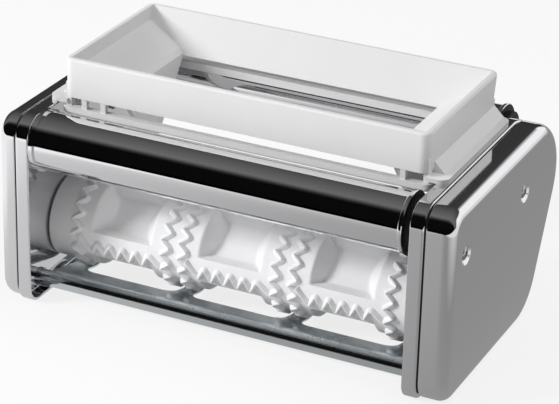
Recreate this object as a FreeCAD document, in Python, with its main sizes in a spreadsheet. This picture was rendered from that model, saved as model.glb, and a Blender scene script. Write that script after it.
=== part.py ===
import FreeCAD, Part
import math
import os
import Sketcher

# Driving sizes in millimetres, degrees or counts
SIZES = {
    "web_gap": 181.0,
    "sheet": 1.3,
    "rim_depth": 6.3,
    "bend": 1.2,
    "plate_front": 62.5,
    "plate_top": 85.2,
    "rear_reach": 60.0,
    "rear_slope": 25.5,
    "rear_corner": 26.0,
    "top_corner": 9.5,
    "toe_corner": 13.0,
    "heel_corner": 24.0,
    "cover_wall": 1.0,
    "cover_edge": 5.0,
    "cover_inner": 2.4,
    "cover_seam": 0.3,
    "right_depth": 12.4,
    "left_depth": 8.5,
    "dimple_wide": 4.6,
    "dimple_deep": 1.4,
    "screw_front": 47.0,
    "screw_rear": 18.0,
    "screw_drop": 9.2,
    "screw_radius": 1.5,
    "head_radius": 2.9,
    "head_thick": 1.6,
    "post_radius": 3.6,
    "bar_radius": 12.5,
    "bar_wall": 1.2,
    "bar_spread": 49.0,
    "bar_height": 72.4,
    "disc_radius": 13.5,
    "disc_thick": 1.8,
    "disc_left": 5.2,
    "disc_right": 8.5,
    "neck_radius": 9.0,
    "neck_small": 4.4,
    "neck_step": 5.4,
    "plug_depth": 12.0,
    "roller_radius": 18.5,
    "roller_height": 25.9,
    "roller_gap": 2.0,
    "ridge_high": 2.0,
    "ridge_half": 1.05,
    "nip_gap": 0.6,
    "row_count": 3,
    "column_count": 3,
    "column_pitch": 51.3,
    "column_shift": -2.5,
    "ridge_span": 43.0,
    "ridge_swing": 4.6,
    "round_teeth": 18,
    "cross_teeth": 5,
    "cross_pitch": 6.15,
    "cross_swing": 17.0,
    "cross_angle": -8.0,
    "pocket_width": 28.6,
    "pocket_angle": 80.0,
    "pocket_floor": 10.5,
    "pocket_draft": 37.0,
    "pocket_lean": 1.9,
    "pocket_blend": 4.0,
    "shaft_radius": 5.0,
    "bush_wall": 2.5,
    "bush_flange": 10.0,
    "bush_lip": 1.0,
    "fit_gap": 0.05,
    "gear_teeth": 30,
    "gear_wide": 6.0,
    "gear_lift": 2.0,
    "gear_backlash": 0.3,
    "hub_radius": 8.0,
    "clip_radius": 7.0,
    "clip_thick": 0.8,
    "socket_radius": 3.5,
    "key_wide": 2.4,
    "key_deep": 1.0,
    "socket_outer": 8.0,
    "socket_deep": 14.0,
    "socket_hole_gap": 1.2,
    "rod_radius": 3.5,
    "front_rod_out": 45.5,
    "front_rod_height": 5.4,
    "rear_rod_out": 44.6,
    "rear_rod_height": 34.0,
    "washer_radius": 4.0,
    "washer_thick": 1.0,
    "comb_sheet": 0.8,
    "comb_gap": 1.0,
    "comb_exit": 5.0,
    "comb_side": 1.0,
    "comb_window": 34.9,
    "front_lap": 45.0,
    "rear_lap": 60.0,
    "comb_root": 5.5,
    "finger_wide": 7.6,
    "hopper_side": 3.2,
    "hopper_front": 37.5,
    "hopper_rear": 38.7,
    "hopper_top": 105.5,
    "hopper_skirt": 17.0,
    "hopper_rake": 13.0,
    "rim_wall": 2.5,
    "hopper_corner": 4.0,
    "rim_round": 1.1,
    "mouth_half": 60.4,
    "mouth_front": 25.5,
    "mouth_rear": 27.1,
    "end_step": 6.0,
    "crease_step": 2.2,
    "crease_drop": 14.0,
    "base_side": 1.2,
    "base_drop": 21.5,
    "base_thick": 3.4,
    "base_wall": 3.2,
    "rib_wide": 2.4,
    "rib_left": -73.0,
    "rib_inner": -64.0,
    "rib_right": 71.5,
    "foot_side": 0.3,
    "foot_high": 1.8,
    "foot_flare": 4.5,
    "cheek_thick": 2.2,
    "cheek_drop": 50.0,
    "cheek_lean": 0.739,
    "panel_wall": 2.0,
    "foot_inset": 7.0,
    "foot_front": 37.0,
}

doc = FreeCAD.newDocument("ravioli_maker")
sheet = doc.addObject("Spreadsheet::Sheet", "Sizes")
for row, (alias, value) in enumerate(SIZES.items(), 1):
    sheet.set(f"A{row}", alias)
    sheet.set(f"B{row}", str(value))
    sheet.setAlias(f"B{row}", alias)
doc.recompute()


# A length that holds its number and the expression over the sheet that gives it
class Term:
    def __init__(self, value, text):
        self.value = float(value)
        self.text = text

    def __add__(self, other):
        other = term(other)
        return Term(self.value + other.value, f"({self.text} + {other.text})")

    def __sub__(self, other):
        other = term(other)
        return Term(self.value - other.value, f"({self.text} - {other.text})")

    def __mul__(self, other):
        other = term(other)
        return Term(self.value * other.value, f"({self.text} * {other.text})")

    def __truediv__(self, other):
        other = term(other)
        return Term(self.value / other.value, f"({self.text} / {other.text})")

    def __neg__(self):
        return Term(-self.value, f"(0 - {self.text})")

    __radd__ = __add__
    __rmul__ = __mul__

    def __rsub__(self, other):
        return term(other) - self


def term(other):
    return other if isinstance(other, Term) else Term(other, repr(float(other)))


def sine(angle):
    return Term(math.sin(math.radians(angle.value)), f"sin({angle.text} * 1 deg)")


def cosine(angle):
    return Term(math.cos(math.radians(angle.value)), f"cos({angle.text} * 1 deg)")


def tangent(angle):
    return sine(angle) / cosine(angle)


class Named:
    def __getattr__(self, alias):
        return Term(getattr(sheet, alias), f"Sizes.{alias}")


z = Named()
X_AXIS = FreeCAD.Vector(1, 0, 0)
ALONG_X = FreeCAD.Rotation(FreeCAD.Vector(0, 1, 0), 90)
SIDES = {"left": -1, "right": 1}
ENDS = {"front": -1, "rear": 1}
nodes = []


def bind(obj, prop, value):
    obj.setExpression(prop, term(value).text)


def place(obj, x, y, height, turn=None):
    obj.Placement = FreeCAD.Placement(FreeCAD.Vector(), turn or FreeCAD.Rotation())
    for axis, value in zip("xyz", (x, y, height)):
        bind(obj, f"Placement.Base.{axis}", value)
    return obj


def node(obj, name):
    obj.Label = name
    nodes.append(obj)
    return obj


def plane(body, role):
    return next(f for f in body.Origin.OriginFeatures if f.Role == role)


def new_sketch(body, name, role):
    sketch = body.newObject("Sketcher::SketchObject", name)
    sketch.AttachmentSupport = [(plane(body, role), "")]
    sketch.MapMode = "FlatFace"
    return sketch


def fix(sketch, kind, geo, point, value):
    # Distance of a sketch point from the sketch's origin, which keeps its sign
    ends = (-1, 1, geo, point) if value.value >= 0 else (geo, point, -1, 1)
    size = value if value.value >= 0 else -value
    index = sketch.addConstraint(Sketcher.Constraint(kind, *ends, abs(value.value)))
    bind(sketch, f"Constraints[{index}]", size)


def pin_point(sketch, geo, point, across, up):
    for kind, axis, value in (("DistanceX", -2, term(across)), ("DistanceY", -1, term(up))):
        if value.value == 0:
            sketch.addConstraint(Sketcher.Constraint("PointOnObject", geo, point, axis))
        else:
            fix(sketch, kind, geo, point, value)


def polygon(sketch, points):
    first = sketch.GeometryCount
    spots = [FreeCAD.Vector(term(a).value, term(b).value, 0) for a, b in points]
    for here, there in zip(spots, spots[1:] + spots[:1]):
        sketch.addGeometry(Part.LineSegment(here, there), False)
    for index, (across, up) in enumerate(points):
        after = first + (index + 1) % len(points)
        sketch.addConstraint(Sketcher.Constraint("Coincident", first + index, 2, after, 1))
        pin_point(sketch, first + index, 1, across, up)


def circle(sketch, across, up, radius):
    centre = FreeCAD.Vector(term(across).value, term(up).value, 0)
    geo = sketch.addGeometry(Part.Circle(centre, FreeCAD.Vector(0, 0, 1), radius.value), False)
    bind(sketch, f"Constraints[{sketch.addConstraint(Sketcher.Constraint('Radius', geo, radius.value))}]", radius)
    pin_point(sketch, geo, 3, across, up)


# The side outline: upright front, level top and foot, leaning rear, four round corners
def side_outline(sketch, inset):
    front = -z.plate_front + inset
    top = z.plate_top - inset
    low = inset
    rear_r = z.rear_corner - inset
    top_r = z.top_corner - inset
    toe_r = z.toe_corner - inset
    heel_r = z.heel_corner - inset
    centre_y = z.rear_reach - z.rear_corner
    centre_z = z.plate_top - z.rear_corner
    lean = z.rear_slope
    touch_y = centre_y + rear_r * cosine(lean)
    touch_z = centre_z - rear_r * sine(lean)
    heel_z = low + heel_r
    heel_y = touch_y - (touch_z - low) * tangent(lean)
    heel_y = heel_y + heel_r * tangent(lean) - heel_r / cosine(lean)
    arcs = (
        (front + top_r, top - top_r, top_r, 90, 180),
        (front + toe_r, low + toe_r, toe_r, 180, 270),
        (heel_y, heel_z, heel_r, 270, 360 - lean.value),
        (centre_y, centre_z, rear_r, -lean.value, 90),
    )
    first = sketch.GeometryCount
    ends = []
    for across, up, radius, start, stop in arcs:
        centre = FreeCAD.Vector(across.value, up.value, 0)
        round_edge = Part.Circle(centre, FreeCAD.Vector(0, 0, 1), radius.value)
        arc = Part.ArcOfCircle(round_edge, math.radians(start), math.radians(stop))
        sketch.addGeometry(arc, False)
        ends.append((arc.StartPoint, arc.EndPoint))
    for index in range(4):
        after = (index + 1) % 4
        sketch.addGeometry(Part.LineSegment(ends[index][1], ends[after][0]), False)
    for index, (across, up, radius, start, stop) in enumerate(arcs):
        arc = first + index
        line = first + 4 + index
        before = first + 4 + (index - 1) % 4
        sketch.addConstraint(Sketcher.Constraint("Tangent", arc, 2, line, 1))
        sketch.addConstraint(Sketcher.Constraint("Tangent", before, 2, arc, 1))
        index = sketch.addConstraint(Sketcher.Constraint("Radius", arc, radius.value))
        bind(sketch, f"Constraints[{index}]", radius)
        pin_point(sketch, arc, 3, across, up)


def pad(body, sketch, name, length, backwards=False):
    solid = body.newObject("PartDesign::Pad", name)
    solid.Profile = sketch
    bind(solid, "Length", length)
    solid.Reversed = backwards
    return solid


def pocket(body, sketch, name, length, backwards=False):
    before = body.Shape.Volume
    cut = body.newObject("PartDesign::Pocket", name)
    cut.Profile = sketch
    bind(cut, "Length", length)
    cut.Reversed = backwards
    doc.recompute()
    if not cut.Shape.Volume < before:
        raise RuntimeError(f"{name} cuts nothing")
    return cut


def face_rim(shape, x):
    return [
        f"Edge{index}"
        for index, edge in enumerate(shape.Edges, 1)
        if all(abs(v.X - x) < 1e-4 for v in edge.Vertexes) and abs(edge.CenterOfMass.x - x) < 1e-4
    ]


def ease_edges(body, name, edges, kind, size):
    base = body.Tip
    blend = body.newObject("PartDesign::" + kind, name)
    blend.Base = (base, edges)
    bind(blend, "Radius" if kind == "Fillet" else "Size", size)
    doc.recompute()
    return blend


def rod(radius, length, x, y, height):
    solid = doc.addObject("Part::Cylinder", "rod")
    bind(solid, "Radius", radius)
    bind(solid, "Height", length)
    return place(solid, x, y, height, ALONG_X)


def block(x, y, height, long, deep, tall):
    solid = doc.addObject("Part::Box", "block")
    for prop, value in (("Length", long), ("Width", deep), ("Height", tall)):
        bind(solid, prop, value)
    return place(solid, x, y, height)


def cut(base, *tools):
    result = base
    for tool in tools:
        step = doc.addObject("Part::Cut", "cut")
        step.Base = result
        step.Tool = tool
        result = step
    return result


def fuse(*pieces):
    if len(pieces) == 1:
        return pieces[0]
    step = doc.addObject("Part::MultiFuse", "fuse")
    step.Shapes = list(pieces)
    return step


def group(*pieces):
    step = doc.addObject("Part::Compound", "group")
    step.Links = list(pieces)
    return step


# A piece turned about a line along X, from (x, radius) corners of its half section
def turned(name, corners, x, y, height, towards=1):
    body = doc.addObject("PartDesign::Body", name)
    sketch = new_sketch(body, name + "_section", "XY_Plane")
    polygon(sketch, [(towards * term(a), b) for a, b in corners])
    spin = body.newObject("PartDesign::Revolution", name + "_turn")
    spin.Profile = sketch
    spin.ReferenceAxis = (sketch, ["H_Axis"])
    spin.Angle = 360
    return place(body, x, y, height)


# Places that the pieces share
mid_x = (z.left_depth - z.right_depth) / 2
web_x = z.web_gap / 2
plate_x = web_x + z.sheet
rim_x = plate_x - z.rim_depth
comb_half = rim_x - z.comb_side
roller_out = z.roller_radius + z.ridge_high + z.nip_gap / 2
roller_end = web_x - z.roller_gap
bush_radius = z.shaft_radius + z.fit_gap + z.bush_wall
screw_height = z.bar_height - z.screw_drop
screw_spots = {"front": (-z.screw_front, screw_height), "rear": (z.screw_rear, screw_height)}
bar_spots = {end: (sign * z.bar_spread, z.bar_height) for end, sign in ENDS.items()}
rod_spots = {
    "front": (-z.front_rod_out, z.front_rod_height),
    "rear": (z.rear_rod_out, z.rear_rod_height),
}
roller_spots = {end: (sign * roller_out, z.roller_height) for end, sign in ENDS.items()}


# Side plates: pressed sheet with a rim turned inwards and holes for all that they carry
def side_plate(side, sign):
    body = doc.addObject("PartDesign::Body", f"{side}_plate_body")
    outline = new_sketch(body, f"{side}_plate_outline", "YZ_Plane")
    side_outline(outline, term(0))
    pad(body, outline, f"{side}_plate_blank", z.rim_depth, sign < 0)
    doc.recompute()
    rim = face_rim(body.Shape, sign * z.rim_depth.value)
    ease_edges(body, f"{side}_plate_bend", rim, "Fillet", z.bend)
    inside = new_sketch(body, f"{side}_plate_inside", "YZ_Plane")
    side_outline(inside, z.sheet)
    pocket(body, inside, f"{side}_plate_dish", z.rim_depth - z.sheet, sign > 0)
    holes = new_sketch(body, f"{side}_plate_holes", "YZ_Plane")
    for y, height in roller_spots.values():
        circle(holes, y, height, bush_radius)
    for y, height in (*bar_spots.values(), *rod_spots.values(), *screw_spots.values()):
        circle(holes, y, height, z.screw_radius + z.fit_gap)
    pocket(body, holes, f"{side}_plate_bores", z.rim_depth + z.sheet, sign > 0)
    place(body, mid_x + sign * (plate_x - z.rim_depth), 0, 0)
    return node(body, f"{side}_side_plate")


# Outer covers: deep drawn shells with two dimples for their screws
def drawn_blank(name, sign, depth, inset, kind, size, x):
    body = doc.addObject("PartDesign::Body", f"{name}_body")
    outline = new_sketch(body, f"{name}_outline", "YZ_Plane")
    side_outline(outline, inset)
    pad(body, outline, f"{name}_blank", depth, sign < 0)
    doc.recompute()
    ease_edges(body, f"{name}_round", face_rim(body.Shape, sign * depth.value), kind, size)
    return place(body, x, 0, 0)


def cover(side, sign):
    depth = z.right_depth if sign > 0 else z.left_depth
    seam_x = mid_x + sign * (plate_x + z.cover_seam)
    deep = depth - z.cover_seam
    outer = drawn_blank(f"{side}_cover", sign, deep, term(0), "Fillet", z.cover_edge, seam_x)
    hollow = deep - z.cover_wall
    inner = drawn_blank(f"{side}_hollow", sign, hollow, z.cover_wall, "Chamfer", z.cover_inner, seam_x)
    face_x = mid_x + sign * (plate_x + depth)
    bumps, dishes = [], []
    for y, height in screw_spots.values():
        bump = doc.addObject("Part::Cone", "bump")
        dish = doc.addObject("Part::Cone", "dish")
        for shape, wall, out in ((bump, z.cover_wall, 0), (dish, term(0), 1)):
            bind(shape, "Radius1", z.head_radius + wall + 0.3)
            bind(shape, "Radius2", z.dimple_wide + wall + 0.3)
            bind(shape, "Height", z.dimple_deep)
            turn = ALONG_X if sign > 0 else FreeCAD.Rotation(FreeCAD.Vector(0, 1, 0), -90)
            back = z.dimple_deep + (z.cover_wall if out == 0 else term(0))
            place(shape, face_x - sign * back, y, height, turn)
        bumps.append(bump)
        dishes.append(dish)
        hole = rod(z.screw_radius + z.fit_gap, depth + z.sheet, 0, y, height)
        place(hole, (seam_x if sign > 0 else face_x - z.sheet), y, height, ALONG_X)
        dishes.append(hole)
    holes = dishes
    if sign < 0:
        y, height = roller_spots["front"]
        radius = z.socket_outer + z.socket_hole_gap
        holes.append(rod(radius, depth + z.sheet, face_x - z.sheet, y, height))
    return node(cut(fuse(cut(outer, inner), *bumps), *holes), f"{side}_cover")


# Guide bars: polished tubes held between flanged end caps, set deeper in on the right
def guide_bar(end):
    y, height = bar_spots[end]
    insets = {"left": z.disc_left, "right": z.disc_right}
    left = web_x - insets["left"] - z.disc_thick
    right = web_x - insets["right"] - z.disc_thick
    tube = rod(z.bar_radius, left + right, mid_x - left, y, height)
    bore = rod(z.bar_radius - z.bar_wall, left + right, mid_x - left, y, height)
    node(cut(tube, bore), f"{end}_guide_bar")
    spigot = z.bar_radius - z.bar_wall - z.fit_gap
    for side, out in SIDES.items():
        inset = insets[side]
        disc = inset + z.disc_thick
        neck = [(0, 0), (0, z.neck_small), (z.neck_step, z.neck_small), (z.neck_step, z.neck_radius),
                (inset, z.neck_radius)]
        if inset.value <= z.neck_step.value:
            neck = [(0, 0), (0, z.neck_small), (inset, z.neck_small)]
        cap = turned(f"{end}_{side}_cap", [
            *neck,
            (inset, z.disc_radius),
            (disc, z.disc_radius),
            (disc, spigot),
            (disc + z.plug_depth, spigot),
            (disc + z.plug_depth, 0),
        ], mid_x + out * web_x, y, height, -out)
        start = mid_x + out * web_x
        depth = z.plug_depth if out > 0 else term(0)
        tap = rod(z.screw_radius, z.plug_depth, start - depth, y, height)
        node(cut(cap, tap), f"{end}_bar_{side}_cap")


# Tie rods across the foot and the back, with a washer at each plate
def tie_rod(end):
    y, height = rod_spots[end]
    reach = web_x - z.washer_thick
    shaft = rod(z.rod_radius, reach * 2, mid_x - reach, y, height)
    taps = []
    for sign in SIDES.values():
        start = mid_x + sign * reach - (z.plug_depth if sign > 0 else term(0))
        taps.append(rod(z.screw_radius, z.plug_depth, start, y, height))
    node(cut(shaft, *taps), f"{end}_tie_rod")


def washers():
    rings = []
    for y, height in rod_spots.values():
        for sign in SIDES.values():
            start = mid_x + sign * web_x - (z.washer_thick if sign > 0 else term(0))
            disc = rod(z.washer_radius, z.washer_thick, start, y, height)
            hole = rod(z.screw_radius + z.fit_gap, z.washer_thick, start, y, height)
            rings.append(cut(disc, hole))
    node(group(*rings), "tie_rod_washers")


# A pan head screw along X, its head's seat at x and its shank pointing inwards
def screw(x, y, height, sign, length):
    shank = z.screw_radius - z.fit_gap
    return turned("screw", [
        (-z.head_thick, 0),
        (-z.head_thick, z.head_radius * 0.7),
        (-z.head_thick * 0.5, z.head_radius),
        (0, z.head_radius),
        (0, shank),
        (length, shank),
        (length, 0),
    ], x, y, height, -sign)


def plate_screws():
    for side, sign in SIDES.items():
        spots = (*bar_spots.values(), *rod_spots.values())
        row = [screw(mid_x + sign * plate_x, y, height, sign, z.plug_depth * 0.8) for y, height in spots]
        node(group(*row), f"{side}_plate_screws")


def cover_posts():
    for side, sign in SIDES.items():
        depth = z.right_depth if sign > 0 else z.left_depth
        length = depth - z.dimple_deep - z.cover_wall
        posts, heads, roots = [], [], []
        for y, height in screw_spots.values():
            start = mid_x + sign * plate_x - (term(0) if sign > 0 else length)
            post = rod(z.post_radius, length, start, y, height)
            posts.append(cut(post, rod(z.screw_radius, length, start, y, height)))
            face = mid_x + sign * (plate_x + depth - z.dimple_deep)
            heads.append(screw(face, y, height, sign, length * 0.5))
            roots.append(screw(mid_x + sign * web_x, y, height, -sign, z.sheet + length * 0.3))
        node(group(*posts), f"{side}_cover_posts")
        node(group(*heads), f"{side}_cover_screws")
        node(group(*roots), f"{side}_post_screws")


# A zigzag ridge: three lines of points, foot, crest and foot, sunk a little into the drum
def ridge(path, along_x, half):
    drum = z.roller_radius.value
    crest = drum + z.ridge_high.value
    foot = drum - 0.5
    spread = half * (crest - foot) / (crest - drum)
    step_x = 0.0 if along_x else spread
    step_angle = spread / drum if along_x else 0.0

    def spot(x, angle, radius):
        return FreeCAD.Vector(x, -radius * math.cos(angle), radius * math.sin(angle))

    return [
        (
            spot(x - step_x, angle - step_angle, foot),
            spot(x, angle, crest),
            spot(x + step_x, angle + step_angle, foot),
        )
        for x, angle in path
    ]


def triangle(a, b, c):
    return Part.Face(Part.makePolygon([a, b, c, a]))


def solid_from(sections, closed):
    faces = []
    pairs = list(zip(sections, sections[1:]))
    if closed:
        pairs.append((sections[-1], sections[0]))
    else:
        faces = [triangle(*sections[0]), triangle(*sections[-1])]
    for here, there in pairs:
        for low, high in ((0, 1), (1, 2), (2, 0)):
            faces.append(triangle(here[low], here[high], there[high]))
            faces.append(triangle(here[low], there[high], there[low]))
    shell = Part.Shell(faces)
    shell.sewShape()
    solid = Part.Solid(shell)
    if solid.Volume < 0:
        solid.reverse()
    if not solid.isValid():
        raise RuntimeError("a ridge is not a valid solid")
    return solid


# Round ridge: angle steps of half a tooth, x swinging by half the swing to either side
def round_ridge(x, mirrored):
    swing = z.ridge_swing.value / 2
    count = int(z.round_teeth.value)
    path = []
    for index in range(count * 2):
        angle = math.pi * (index + 1) / count + math.radians(2)
        towards = 1 if index % 2 == mirrored else -1
        path.append((x + towards * swing, angle))
    return solid_from(ridge(path, False, z.ridge_half.value * 1.5), True)


# Cross ridge: x steps of half a tooth, the angle swinging by half the swing to either side
def cross_ridge(x, angle, span):
    swing = math.radians(z.cross_swing.value) / 2
    pitch = z.cross_pitch.value
    teeth = int(z.cross_teeth.value)
    path = [(x - span / 2 + 1.5, angle + swing * 1.6)]
    for index in range(teeth * 2):
        towards = 1 if index % 2 else -1
        path.append((x + pitch * (index / 2 - teeth / 2 + 0.18), angle + towards * swing))
    path.append((x + span / 2 - 2.0, angle - swing * 0.9))
    return solid_from(ridge(path, True, z.ridge_half.value * 1.9), False)


# One pocket: a turned cut with leaning ends, kept where the flat floored profile allows
def pocket_tool(x, turn):
    drum = z.roller_radius.value
    top = drum + z.ridge_high.value + 1
    floor = z.pocket_floor.value
    slope = math.tan(math.radians(z.pocket_draft.value))
    half = z.pocket_width.value / 2
    edge = math.radians(z.pocket_angle.value / 2)
    low = half - (drum - floor) * slope
    high = half + (top - drum) * slope
    section = [(x - low, floor), (x + low, floor), (x + high, top), (x - high, top)]
    corners = [FreeCAD.Vector(a, b, 0) for a, b in section]
    ring = Part.Face(Part.makePolygon(corners + corners[:1]))
    ring = ring.revolve(FreeCAD.Vector(), X_AXIS, 360)
    rim_y = drum * math.sin(edge)
    rim_h = drum * math.cos(edge)
    lean = z.pocket_lean.value
    run = (rim_h - floor) * lean
    out = rim_y + (top - rim_h) * lean
    profile = [(-rim_y + run, floor), (rim_y - run, floor), (out, top), (-out, top)]
    span = z.ridge_span.value
    corners = [FreeCAD.Vector(x - span / 2, b, a) for b, a in profile]
    slab = Part.Face(Part.makePolygon(corners + corners[:1]))
    slab = slab.extrude(X_AXIS * span)
    blend = [e for e in slab.Edges if abs(e.CenterOfMass.z - floor) < 1e-6 and e.Length > half]
    slab = slab.makeFillet(z.pocket_blend.value, blend)
    tool = ring.common(slab)
    tool.rotate(FreeCAD.Vector(), X_AXIS, turn)
    return tool


def feature(name, shape, x=0, y=0, height=0):
    obj = doc.addObject("Part::Feature", name + "_solid")
    obj.Shape = shape
    return node(place(obj, x, y, height), name)


# Mould rollers: drums with rows of pockets, each in its frame of zigzag ridges
def mould_rollers():
    length = roller_end.value * 2
    start = FreeCAD.Vector(-length / 2, 0, 0)
    drum = Part.makeCylinder(z.roller_radius.value, length, start, X_AXIS)
    rows = int(z.row_count.value)
    columns = int(z.column_count.value)
    span = z.ridge_span.value
    tools, ridges = [], []
    for column in range(columns):
        x = z.column_shift.value + (column - (columns - 1) / 2) * z.column_pitch.value
        for sign in (-1, 1):
            ridges.append(round_ridge(x + sign * span / 2, sign > 0))
        for row in range(rows):
            angle = z.cross_angle.value + 360.0 * row / rows
            ridges.append(cross_ridge(x, math.radians(angle), span))
            tools.append(pocket_tool(x, 90 - angle - 180.0 / rows))
    bore = Part.makeCylinder(z.shaft_radius.value, length, start, X_AXIS)
    shape = drum.cut(tools + [bore])
    shape = shape.fuse(ridges)
    if len(shape.Solids) != 1:
        raise RuntimeError("the mould roller is not one solid")
    front = shape.Solids[0]
    rear = front.mirror(FreeCAD.Vector(), FreeCAD.Vector(0, 1, 0))
    for end, solid in (("front", front), ("rear", rear)):
        y, height = roller_spots[end]
        feature(f"{end}_mould_roller", solid, mid_x, y, height)


# Shafts, their ends counted outwards from the plates' middle
right_end = plate_x + z.gear_lift + z.gear_wide + z.clip_thick + 0.6
socket_end = plate_x + z.left_depth - 0.3
rear_left_end = plate_x + z.bush_lip + 0.3 + z.clip_thick + 0.6
hub_start = plate_x + z.bush_lip + 0.3


def shafts():
    for end, left_end in (("front", socket_end), ("rear", rear_left_end)):
        y, height = roller_spots[end]
        solid = rod(z.shaft_radius, left_end + right_end, mid_x - left_end, y, height)
        if end == "front":
            hole = rod(z.socket_radius, z.socket_deep, mid_x - left_end, y, height)
            key = block(mid_x - left_end, y - z.key_wide / 2, height, z.socket_deep,
                        z.key_wide, z.socket_radius + z.key_deep)
            solid = cut(solid, hole, key)
        node(solid, f"{end}_roller_shaft")


def collar():
    y, height = roller_spots["front"]
    length = socket_end - hub_start
    outer = rod(z.socket_outer, length, mid_x - socket_end, y, height)
    inner = rod(z.shaft_radius, length, mid_x - socket_end, y, height)
    node(cut(outer, inner), "drive_socket_collar")


def clip(start, y, height):
    disc = rod(z.clip_radius, z.clip_thick, start, y, height)
    return cut(disc, rod(z.shaft_radius, z.clip_thick, start, y, height))


def clips():
    gear_face = mid_x + plate_x + z.gear_lift + z.gear_wide
    node(clip(gear_face, *roller_spots["front"]), "front_gear_clip")
    node(clip(gear_face, *roller_spots["rear"]), "rear_gear_clip")
    start = mid_x - hub_start - z.clip_thick
    node(clip(start, *roller_spots["rear"]), "rear_shaft_clip")


def bushes():
    for side, sign in SIDES.items():
        pair = []
        for y, height in roller_spots.values():
            ring = turned("bush", [
                (0, z.shaft_radius + z.fit_gap),
                (0, bush_radius),
                (z.sheet, bush_radius),
                (z.sheet, z.bush_flange),
                (z.sheet + z.bush_lip, z.bush_flange),
                (z.sheet + z.bush_lip, z.shaft_radius + z.fit_gap),
            ], mid_x + sign * web_x, y, height, sign)
            pair.append(ring)
        node(group(*pair), f"{side}_shaft_bushes")


# Involute tooth flank: radius grows as the unwound angle t, r = base * sqrt(1 + t * t)
def gear_outline(teeth, module, backlash, turn):
    pitch = module * teeth / 2
    base = pitch * math.cos(math.radians(20))
    tip = pitch + module * 0.95
    root = pitch - module * 1.25
    inv = math.tan(math.radians(20)) - math.radians(20)
    half = math.pi / (2 * teeth) - backlash / (2 * pitch) + inv
    flank = []
    steps = 3
    for index in range(steps + 1):
        radius = max(base, root) + (tip - max(base, root)) * index / steps
        t = math.sqrt((radius / base) ** 2 - 1)
        flank.append((radius, half - (t - math.atan(t))))
    points = []
    for tooth in range(teeth):
        middle = turn + 2 * math.pi * tooth / teeth
        rise = [(root, -flank[0][1] - 0.01)] + [(r, -a) for r, a in flank]
        fall = [(r, a) for r, a in reversed(flank)] + [(root, flank[0][1] + 0.01)]
        for radius, angle in rise + fall:
            points.append(FreeCAD.Vector(0, radius * math.cos(middle + angle), radius * math.sin(middle + angle)))
    return points


def gears():
    teeth = int(z.gear_teeth.value)
    module = 2 * roller_out.value / teeth
    wide = z.gear_wide.value
    start = z.gear_lift.value - z.bush_lip.value - 0.3
    for end in ENDS:
        turn = math.pi / teeth if end == "rear" and teeth % 2 == 0 else 0.0
        points = gear_outline(teeth, module, z.gear_backlash.value, turn)
        wheel = Part.Face(Part.makePolygon(points + points[:1])).extrude(X_AXIS * wide)
        pitch = module * teeth / 2
        web = Part.makeCylinder(pitch - module * 2.6, wide, FreeCAD.Vector(wide * 0.55, 0, 0), X_AXIS)
        hub = Part.makeCylinder(z.hub_radius.value, wide + start, FreeCAD.Vector(-start, 0, 0), X_AXIS)
        bore = Part.makeCylinder(z.shaft_radius.value, wide + start, FreeCAD.Vector(-start, 0, 0), X_AXIS)
        shape = wheel.cut(web).fuse(hub).cut(bore)
        y, height = roller_spots[end]
        feature(f"{end}_gear", shape.Solids[0], mid_x + plate_x + z.gear_lift, y, height)


# Combs: sheet lapped on a tie rod, drawn straight to the roller and curved under it
def comb_outline(end, near, far):
    sign = ENDS[end]
    axis_y, axis_z = roller_spots[end]
    rod_y, rod_z = rod_spots[end]
    axis_y = abs(axis_y.value)
    axis_z = axis_z.value
    rod_y = abs(rod_y.value)
    rod_z = rod_z.value
    inner = z.rod_radius.value
    outer = inner + z.comb_sheet.value
    away = math.hypot(axis_y - rod_y, axis_z - rod_z)
    course = math.atan2(axis_z - rod_z, axis_y - rod_y)
    # The straight run crosses between rod and roller at the front and passes outside both at the rear
    if end == "front":
        touch = course - math.acos((inner + far) / away)
        begin = touch - math.pi
        lanes = (far, near)
    else:
        touch = course + math.acos((inner - near) / away)
        begin = touch
        lanes = (near, far)
    tip = -math.acos((z.comb_exit.value - axis_y) / near)
    lap = math.radians(getattr(z, f"{end}_lap").value)
    wide = comb_half.value

    def on_rod(radius, angle):
        return FreeCAD.Vector(-wide, sign * (rod_y + radius * math.cos(angle)), rod_z + radius * math.sin(angle))

    def on_roller(radius, angle):
        return FreeCAD.Vector(-wide, sign * (axis_y + radius * math.cos(angle)), axis_z + radius * math.sin(angle))

    def arc(spot, radius, first, last):
        return Part.Arc(spot(radius, first), spot(radius, (first + last) / 2), spot(radius, last)).toShape()

    def line(a, b):
        return Part.LineSegment(a, b).toShape()

    low, high = lanes
    return Part.Wire([
        arc(on_rod, inner, lap, touch),
        line(on_rod(inner, touch), on_roller(low, begin)),
        arc(on_roller, low, begin, tip),
        line(on_roller(low, tip), on_roller(high, tip)),
        arc(on_roller, high, tip, begin),
        line(on_roller(high, begin), on_rod(outer, touch)),
        arc(on_rod, outer, touch, lap),
        line(on_rod(outer, lap), on_rod(inner, lap)),
    ])


def combs():
    near = z.roller_radius.value + z.ridge_high.value + z.comb_gap.value
    far = near + z.comb_sheet.value
    root = z.comb_window.value
    tall = z.roller_height.value
    columns = int(z.column_count.value)
    window = z.column_pitch.value - z.finger_wide.value
    for end, sign in ENDS.items():
        shape = Part.Face(comb_outline(end, near, far)).extrude(X_AXIS * comb_half.value * 2)
        for column in range(columns):
            x = z.column_shift.value + (column - (columns - 1) / 2) * z.column_pitch.value
            tool = Part.makeBox(window, root + 1, tall, FreeCAD.Vector(x - window / 2, min(sign * root, -sign), 0))
            corner = [
                e for e in tool.Edges
                if abs(e.CenterOfMass.y - sign * root) < 1e-6 and abs(e.CenterOfMass.z - tall / 2) < 1e-6
            ]
            shape = shape.cut(tool.makeFillet(z.comb_root.value, corner))
        feature(f"{end}_comb", shape.Solids[0], mid_x)


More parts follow.
